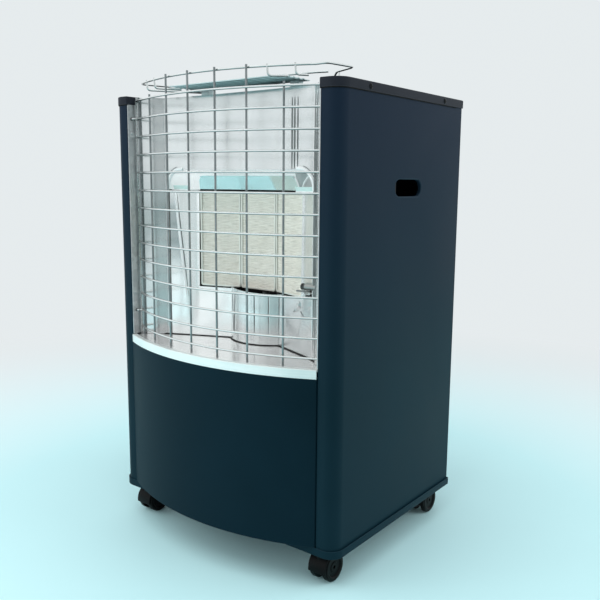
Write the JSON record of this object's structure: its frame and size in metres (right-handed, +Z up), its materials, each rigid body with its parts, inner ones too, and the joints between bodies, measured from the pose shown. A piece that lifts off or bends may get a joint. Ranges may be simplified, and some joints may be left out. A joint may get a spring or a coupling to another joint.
{
  "type": "portable gas cabinet heater",
  "caption": "Upright gas room heater on casters with a dark sheet metal cabinet, a bowed wire guard over ceramic plaques in a polished reflector, and a lift-off rear cover.",
  "frame": {"origin": "middle of the bounding box at floor level, under the caster wheels", "axes": "+X to the right as seen from the front, -Y towards the front, +Z up"},
  "size_m": [0.45, 0.459, 0.728],
  "materials": {
    "cabinet_paint": "fine textured dark blue-grey powder coat",
    "lid_paint": "fine textured charcoal powder coat",
    "reflector_steel": "polished thin sheet",
    "zinc_sheet": "zinc coated sheet",
    "plated_wire": "bright plated wire",
    "trim_aluminium": "satin",
    "plaque_ceramic": "matt porous ceramic with fine ridges",
    "burner_steel": "plain pressed steel",
    "tap_brass": "machined",
    "pipe_copper": "drawn tube",
    "black_plastic": "moulded",
    "red_plastic": "moulded",
    "electrode_ceramic": "glazed"
  },
  "bodies": {
    "cabinet": {"base_tray": "lid_paint", "side_panel_right": "cabinet_paint", "side_panel_left": "cabinet_paint", "top_lid": "lid_paint", "front_panel": "cabinet_paint", "front_trim_strip": "trim_aluminium", "burner_shelf": "zinc_sheet", "guard_rail_right": "zinc_sheet", "guard_rail_left": "zinc_sheet", "heat_shield": "zinc_sheet", "rear_cross_rail": "zinc_sheet", "reflector_panel": "reflector_steel", "reflector_recess": "reflector_steel", "reflector_side_right": "reflector_steel", "reflector_side_left": "reflector_steel", "lower_burner_cover": "reflector_steel", "burner_hood": "reflector_steel", "ceramic_plaque_left": "plaque_ceramic", "ceramic_plaque_centre": "plaque_ceramic", "ceramic_plaque_right": "plaque_ceramic", "plaque_frame_left": "trim_aluminium", "plaque_frame_centre": "trim_aluminium", "plaque_frame_right": "trim_aluminium", "burner_body_left": "burner_steel", "burner_body_centre": "burner_steel", "burner_body_right": "burner_steel", "injector_manifold": "tap_brass", "wire_guard": "plated_wire", "guard_top_tray": "plated_wire", "top_deflector": "reflector_steel", "gas_tap": "tap_brass", "tap_bracket": "zinc_sheet", "piezo_igniter": "black_plastic", "pilot_burner": "burner_steel", "ignition_electrode": "electrode_ceramic", "gas_pipe_burner": "pipe_copper", "gas_pipe_pilot": "pipe_copper", "ignition_lead": "black_plastic", "caster_stem_front_left": "burner_steel", "caster_stem_front_right": "burner_steel", "caster_stem_rear_left": "burner_steel", "caster_stem_rear_right": "burner_steel", "flame_sensor": "pipe_copper"},
    "rear_cover": {"rear_cover": "cabinet_paint"},
    "tap_spindle": {"tap_spindle": "burner_steel"},
    "control_knob": {"control_knob": "black_plastic"},
    "igniter_button": {"igniter_button": "red_plastic"},
    "caster_front_left": {"caster_hood_front_left": "black_plastic"},
    "caster_front_right": {"caster_hood_front_right": "black_plastic"},
    "caster_rear_left": {"caster_hood_rear_left": "black_plastic"},
    "caster_rear_right": {"caster_hood_rear_right": "black_plastic"},
    "wheel_a_front_left": {"caster_wheel_a_front_left": "black_plastic"},
    "wheel_b_front_left": {"caster_wheel_b_front_left": "black_plastic"},
    "wheel_a_front_right": {"caster_wheel_a_front_right": "black_plastic"},
    "wheel_b_front_right": {"caster_wheel_b_front_right": "black_plastic"},
    "wheel_a_rear_left": {"caster_wheel_a_rear_left": "black_plastic"},
    "wheel_b_rear_left": {"caster_wheel_b_rear_left": "black_plastic"},
    "wheel_a_rear_right": {"caster_wheel_a_rear_right": "black_plastic"},
    "wheel_b_rear_right": {"caster_wheel_b_rear_right": "black_plastic"}
  },
  "joints": [
    {"name": "cover_lift", "type": "slide", "parent": "cabinet", "child": "rear_cover", "axis": [0, 0, 1], "range_m": [0, 0.014]},
    {"name": "knob_push", "type": "slide", "parent": "cabinet", "child": "tap_spindle", "axis": [0, 0, -1], "range_m": [0, 0.004], "stiffness_N_per_m": 900, "springref_m": -0.002},
    {"name": "knob_turn", "type": "hinge", "parent": "tap_spindle", "child": "control_knob", "pos_m": [0.128, 0.0865, 0.71], "axis": [0, 0, 1], "range_deg": [0, 210]},
    {"name": "igniter_press", "type": "slide", "parent": "cabinet", "child": "igniter_button", "axis": [0, 0, -1], "range_m": [0, 0.005], "stiffness_N_per_m": 700, "springref_m": -0.002},
    {"name": "swivel_front_left", "type": "hinge", "parent": "cabinet", "child": "caster_front_left", "pos_m": [-0.187, -0.1635, 0.04], "axis": [0, 0, 1], "continuous": true},
    {"name": "swivel_front_right", "type": "hinge", "parent": "cabinet", "child": "caster_front_right", "pos_m": [0.187, -0.1635, 0.04], "axis": [0, 0, 1], "continuous": true},
    {"name": "swivel_rear_left", "type": "hinge", "parent": "cabinet", "child": "caster_rear_left", "pos_m": [-0.187, 0.1285, 0.04], "axis": [0, 0, 1], "continuous": true},
    {"name": "swivel_rear_right", "type": "hinge", "parent": "cabinet", "child": "caster_rear_right", "pos_m": [0.187, 0.1285, 0.04], "axis": [0, 0, 1], "continuous": true},
    {"name": "roll_a_front_left", "type": "hinge", "parent": "caster_front_left", "child": "wheel_a_front_left", "pos_m": [-0.187, -0.1495, 0.0215], "axis": [1, 0, 0], "continuous": true},
    {"name": "roll_b_front_left", "type": "hinge", "parent": "caster_front_left", "child": "wheel_b_front_left", "pos_m": [-0.187, -0.1495, 0.0215], "axis": [1, 0, 0], "continuous": true},
    {"name": "roll_a_front_right", "type": "hinge", "parent": "caster_front_right", "child": "wheel_a_front_right", "pos_m": [0.187, -0.1495, 0.0215], "axis": [1, 0, 0], "continuous": true},
    {"name": "roll_b_front_right", "type": "hinge", "parent": "caster_front_right", "child": "wheel_b_front_right", "pos_m": [0.187, -0.1495, 0.0215], "axis": [1, 0, 0], "continuous": true},
    {"name": "roll_a_rear_left", "type": "hinge", "parent": "caster_rear_left", "child": "wheel_a_rear_left", "pos_m": [-0.187, 0.1425, 0.0215], "axis": [1, 0, 0], "continuous": true},
    {"name": "roll_b_rear_left", "type": "hinge", "parent": "caster_rear_left", "child": "wheel_b_rear_left", "pos_m": [-0.187, 0.1425, 0.0215], "axis": [1, 0, 0], "continuous": true},
    {"name": "roll_a_rear_right", "type": "hinge", "parent": "caster_rear_right", "child": "wheel_a_rear_right", "pos_m": [0.187, 0.1425, 0.0215], "axis": [1, 0, 0], "continuous": true},
    {"name": "roll_b_rear_right", "type": "hinge", "parent": "caster_rear_right", "child": "wheel_b_rear_right", "pos_m": [0.187, 0.1425, 0.0215], "axis": [1, 0, 0], "continuous": true}
  ]
}
